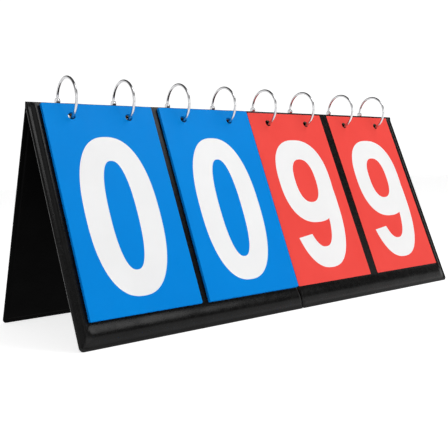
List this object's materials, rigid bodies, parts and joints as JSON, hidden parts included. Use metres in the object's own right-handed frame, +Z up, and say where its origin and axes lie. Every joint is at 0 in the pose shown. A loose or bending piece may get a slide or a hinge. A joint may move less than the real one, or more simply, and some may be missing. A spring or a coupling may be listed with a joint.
{
  "type": "flip scoring board",
  "caption": "A padded black A-frame board that stands on a table, with stacks of large numeral cards hung on metal rings over its ridge, which flip over to show the score.",
  "frame": {"origin": "bottom centre of the bounding box, on the surface the board stands on", "axes": "+X along the ridge to the viewer's right, +Y to the back, +Z up; the playing side faces -Y"},
  "size_m": [0.385, 0.1296, 0.1787],
  "materials": {
    "black_vinyl": "glossy, fine grain, padded",
    "chipboard": "raw, wrapped in the cover",
    "blue_card": "smooth satin sheet",
    "red_card": "smooth satin sheet",
    "white_print": "printed, satin",
    "chrome_wire": "polished plated wire"
  },
  "bodies": {
    "front_left": {"front_left_cover": "black_vinyl", "front_left_core": "chipboard", "front_left_lining": "black_vinyl", "front_left_ridge_strip": "black_vinyl", "front_centre_strip": "black_vinyl", "blue_tens_cards_1_to_9": "blue_card", "blue_tens_numeral_1": "white_print", "blue_ones_cards_1_to_9": "blue_card", "blue_ones_numeral_1": "white_print"},
    "front_right": {"front_right_cover": "black_vinyl", "front_right_core": "chipboard", "front_right_lining": "black_vinyl", "front_right_ridge_strip": "black_vinyl"},
    "back_left": {"back_left_cover": "black_vinyl", "back_left_core": "chipboard", "back_left_lining": "black_vinyl", "back_left_ridge_strip": "black_vinyl", "back_centre_strip": "black_vinyl"},
    "back_right": {"back_right_cover": "black_vinyl", "back_right_core": "chipboard", "back_right_lining": "black_vinyl", "back_right_ridge_strip": "black_vinyl", "red_tens_cards_0_to_7": "red_card", "red_ones_cards_0_to_7": "red_card"},
    "blue_tens_card_0": {"blue_tens_card_0": "blue_card", "blue_tens_numeral_0": "white_print"},
    "blue_ones_card_0": {"blue_ones_card_0": "blue_card", "blue_ones_numeral_0": "white_print"},
    "red_tens_card_9": {"red_tens_card_9": "red_card", "red_tens_numeral_9": "white_print"},
    "red_tens_card_8": {"red_tens_card_8": "red_card", "red_tens_numeral_8": "white_print"},
    "red_ones_card_9": {"red_ones_card_9": "red_card", "red_ones_numeral_9": "white_print"},
    "red_ones_card_8": {"red_ones_card_8": "red_card", "red_ones_numeral_8": "white_print"},
    "ring_1": {"ring_1_lower_half": "chrome_wire"},
    "ring_1_top": {"ring_1_upper_half": "chrome_wire"},
    "ring_2": {"ring_2_lower_half": "chrome_wire"},
    "ring_2_top": {"ring_2_upper_half": "chrome_wire"},
    "ring_3": {"ring_3_lower_half": "chrome_wire"},
    "ring_3_top": {"ring_3_upper_half": "chrome_wire"},
    "ring_4": {"ring_4_lower_half": "chrome_wire"},
    "ring_4_top": {"ring_4_upper_half": "chrome_wire"},
    "ring_5": {"ring_5_lower_half": "chrome_wire"},
    "ring_5_top": {"ring_5_upper_half": "chrome_wire"},
    "ring_6": {"ring_6_lower_half": "chrome_wire"},
    "ring_6_top": {"ring_6_upper_half": "chrome_wire"},
    "ring_7": {"ring_7_lower_half": "chrome_wire"},
    "ring_7_top": {"ring_7_upper_half": "chrome_wire"},
    "ring_8": {"ring_8_lower_half": "chrome_wire"},
    "ring_8_top": {"ring_8_upper_half": "chrome_wire"}
  },
  "joints": [
    {"name": "centre_fold", "type": "hinge", "parent": "front_left", "child": "front_right", "pos_m": [0, -0.00297, 0.1616], "axis": [0, -0.3746, -0.9272], "range_deg": [0, 110]},
    {"name": "ridge_fold_left", "type": "hinge", "parent": "front_left", "child": "back_left", "pos_m": [-0.096, 0, 0.154], "axis": [1, 0, 0], "range_deg": [-43, 0]},
    {"name": "ridge_fold_right", "type": "hinge", "parent": "front_right", "child": "back_right", "pos_m": [0.096, 0, 0.154], "axis": [1, 0, 0], "range_deg": [-43, 0]},
    {"name": "blue_tens_card_0_flip", "type": "hinge", "parent": "front_left", "child": "blue_tens_card_0", "pos_m": [-0.13905, 0, 0.16382], "axis": [-1, 0, 0], "range_deg": [0, 314]},
    {"name": "blue_ones_card_0_flip", "type": "hinge", "parent": "front_left", "child": "blue_ones_card_0", "pos_m": [-0.0449, 0, 0.16382], "axis": [-1, 0, 0], "range_deg": [0, 314]},
    {"name": "red_tens_card_9_flip", "type": "hinge", "parent": "front_right", "child": "red_tens_card_9", "pos_m": [0.04495, 0, 0.16382], "axis": [-1, 0, 0], "range_deg": [0, 314]},
    {"name": "red_tens_card_8_flip", "type": "hinge", "parent": "back_right", "child": "red_tens_card_8", "pos_m": [0.04495, 0, 0.16382], "axis": [1, 0, 0], "range_deg": [0, 314]},
    {"name": "red_ones_card_9_flip", "type": "hinge", "parent": "front_right", "child": "red_ones_card_9", "pos_m": [0.1415, 0, 0.16382], "axis": [-1, 0, 0], "range_deg": [0, 314]},
    {"name": "red_ones_card_8_flip", "type": "hinge", "parent": "back_right", "child": "red_ones_card_8", "pos_m": [0.1415, 0, 0.16382], "axis": [1, 0, 0], "range_deg": [0, 314]},
    {"name": "ring_1_lean", "type": "hinge", "parent": "front_left", "child": "ring_1", "pos_m": [-0.1622, 0, 0.1487], "axis": [0, 1, 0], "range_deg": [-50, 50]},
    {"name": "ring_1_opening", "type": "hinge", "parent": "ring_1", "child": "ring_1_top", "pos_m": [-0.1622, 0.0149, 0.1628], "axis": [-1, 0, 0], "range_deg": [0, 60]},
    {"name": "ring_2_lean", "type": "hinge", "parent": "front_left", "child": "ring_2", "pos_m": [-0.1169, 0, 0.1487], "axis": [0, 1, 0], "range_deg": [-50, 50]},
    {"name": "ring_2_opening", "type": "hinge", "parent": "ring_2", "child": "ring_2_top", "pos_m": [-0.1169, 0.0149, 0.1628], "axis": [-1, 0, 0], "range_deg": [0, 60]},
    {"name": "ring_3_lean", "type": "hinge", "parent": "front_left", "child": "ring_3", "pos_m": [-0.06805, 0, 0.1487], "axis": [0, 1, 0], "range_deg": [-50, 50]},
    {"name": "ring_3_opening", "type": "hinge", "parent": "ring_3", "child": "ring_3_top", "pos_m": [-0.06805, 0.0149, 0.1628], "axis": [-1, 0, 0], "range_deg": [0, 60]},
    {"name": "ring_4_lean", "type": "hinge", "parent": "front_left", "child": "ring_4", "pos_m": [-0.02275, 0, 0.1487], "axis": [0, 1, 0], "range_deg": [-50, 50]},
    {"name": "ring_4_opening", "type": "hinge", "parent": "ring_4", "child": "ring_4_top", "pos_m": [-0.02275, 0.0149, 0.1628], "axis": [-1, 0, 0], "range_deg": [0, 60]},
    {"name": "ring_5_lean", "type": "hinge", "parent": "front_right", "child": "ring_5", "pos_m": [0.0218, 0, 0.1487], "axis": [0, 1, 0], "range_deg": [-50, 50]},
    {"name": "ring_5_opening", "type": "hinge", "parent": "ring_5", "child": "ring_5_top", "pos_m": [0.0218, 0.0149, 0.1628], "axis": [-1, 0, 0], "range_deg": [0, 60]},
    {"name": "ring_6_lean", "type": "hinge", "parent": "front_right", "child": "ring_6", "pos_m": [0.0671, 0, 0.1487], "axis": [0, 1, 0], "range_deg": [-50, 50]},
    {"name": "ring_6_opening", "type": "hinge", "parent": "ring_6", "child": "ring_6_top", "pos_m": [0.0671, 0.0149, 0.1628], "axis": [-1, 0, 0], "range_deg": [0, 60]},
    {"name": "ring_7_lean", "type": "hinge", "parent": "front_right", "child": "ring_7", "pos_m": [0.11835, 0, 0.1487], "axis": [0, 1, 0], "range_deg": [-50, 50]},
    {"name": "ring_7_opening", "type": "hinge", "parent": "ring_7", "child": "ring_7_top", "pos_m": [0.11835, 0.0149, 0.1628], "axis": [-1, 0, 0], "range_deg": [0, 60]},
    {"name": "ring_8_lean", "type": "hinge", "parent": "front_right", "child": "ring_8", "pos_m": [0.16365, 0, 0.1487], "axis": [0, 1, 0], "range_deg": [-50, 50]},
    {"name": "ring_8_opening", "type": "hinge", "parent": "ring_8", "child": "ring_8_top", "pos_m": [0.16365, 0.0149, 0.1628], "axis": [-1, 0, 0], "range_deg": [0, 60]}
  ],
  "couplings": [
    {"joint": "ridge_fold_right", "follows": "ridge_fold_left", "ratio": 1}
  ]
}
